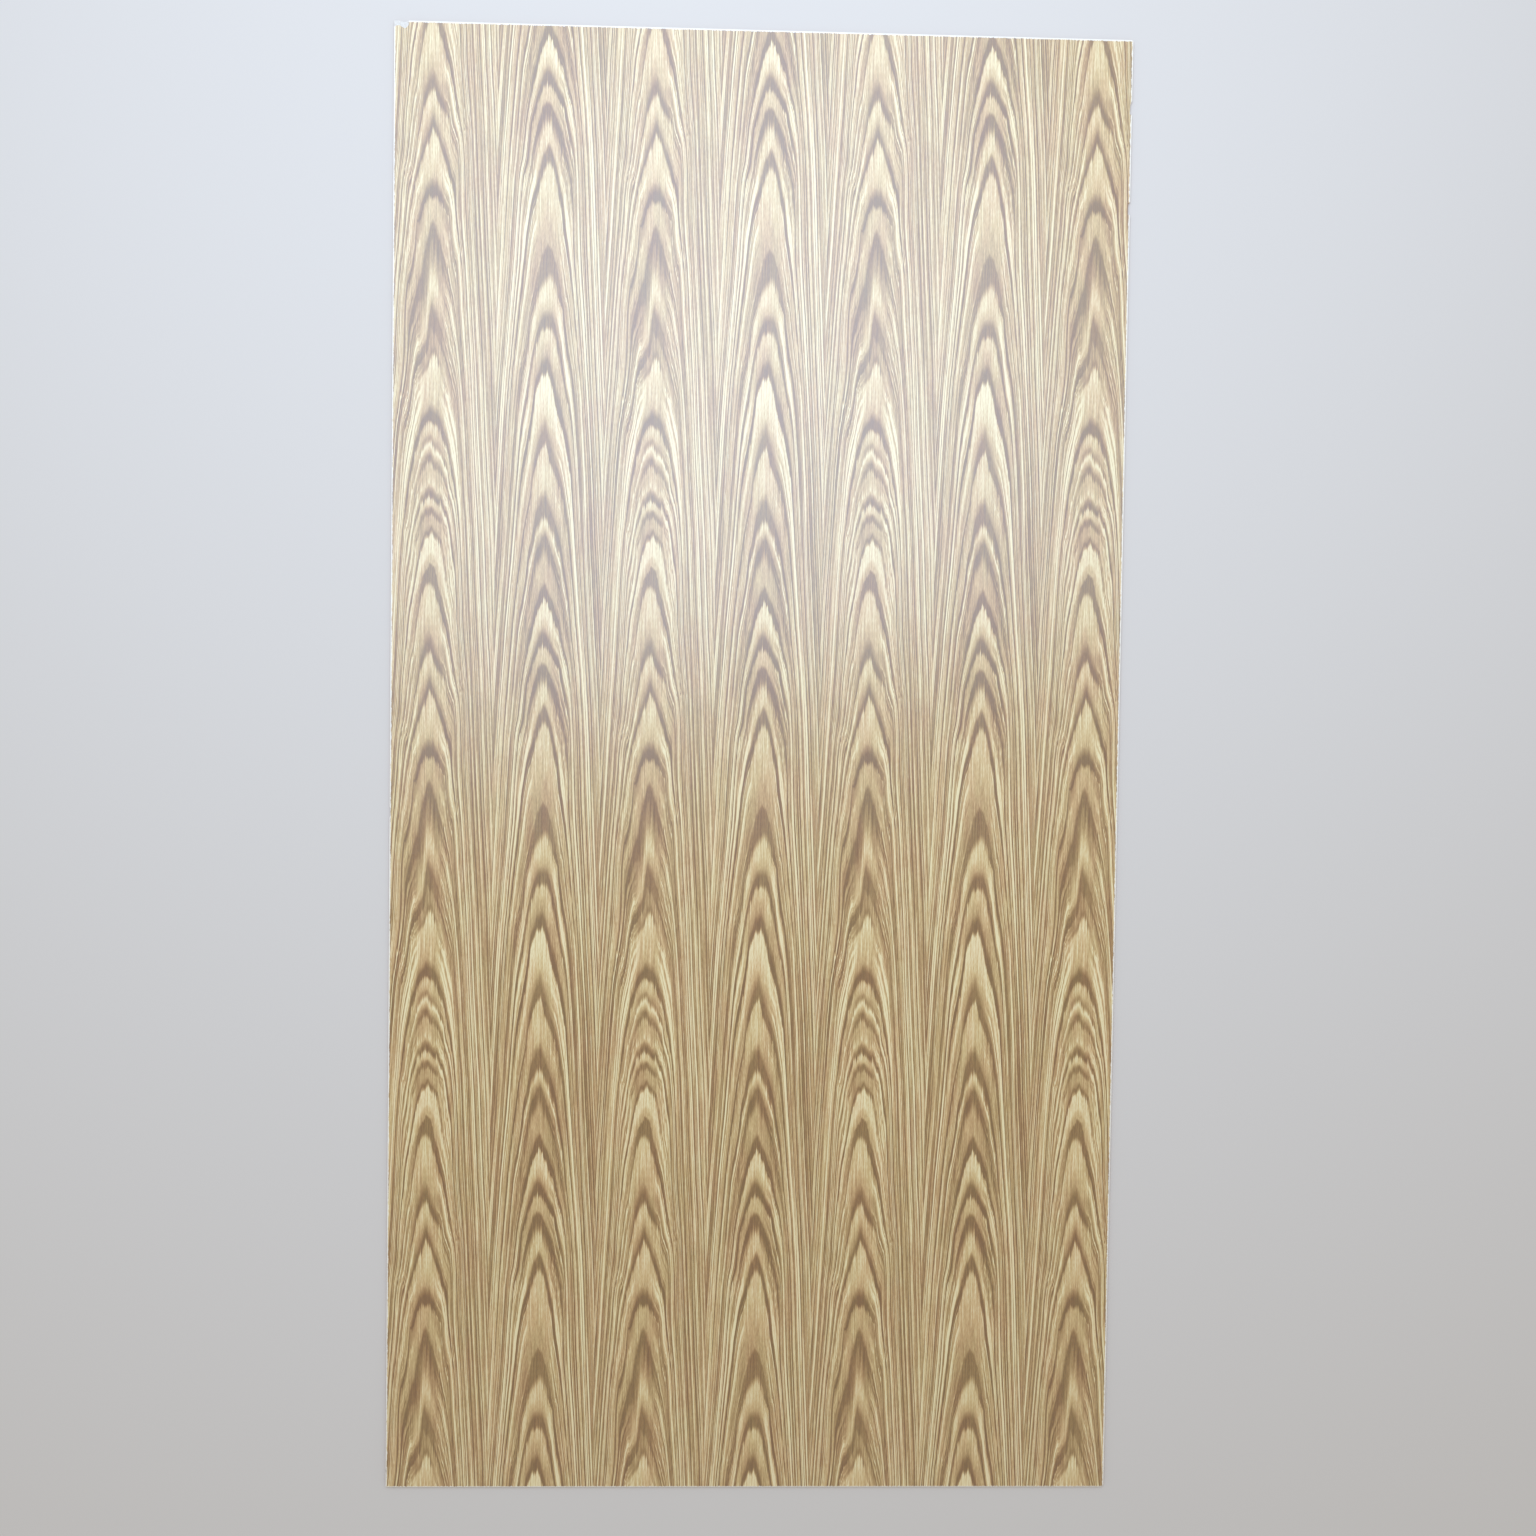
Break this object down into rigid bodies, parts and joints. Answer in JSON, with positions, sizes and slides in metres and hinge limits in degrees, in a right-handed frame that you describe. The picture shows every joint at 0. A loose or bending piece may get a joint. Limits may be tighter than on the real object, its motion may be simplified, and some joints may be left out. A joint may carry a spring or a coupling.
{
  "type": "plywood sheet",
  "caption": "Thin flat plywood sheet with a printed crown-cut oak show face, a plain back, and worn, nicked edges.",
  "frame": {"origin": "middle of the back face, which lies on the ground", "axes": "+X across the sheet to the pictured right-hand edge, +Y along the sheet to its pictured top edge, +Z out of the show face"},
  "size_m": [1.22, 2.44, 0.0052],
  "materials": {
    "plywood": "satin printed oak face, raw veneer back and edges"
  },
  "bodies": {
    "root": {"plywood_sheet": "plywood"}
  },
  "joints": []
}
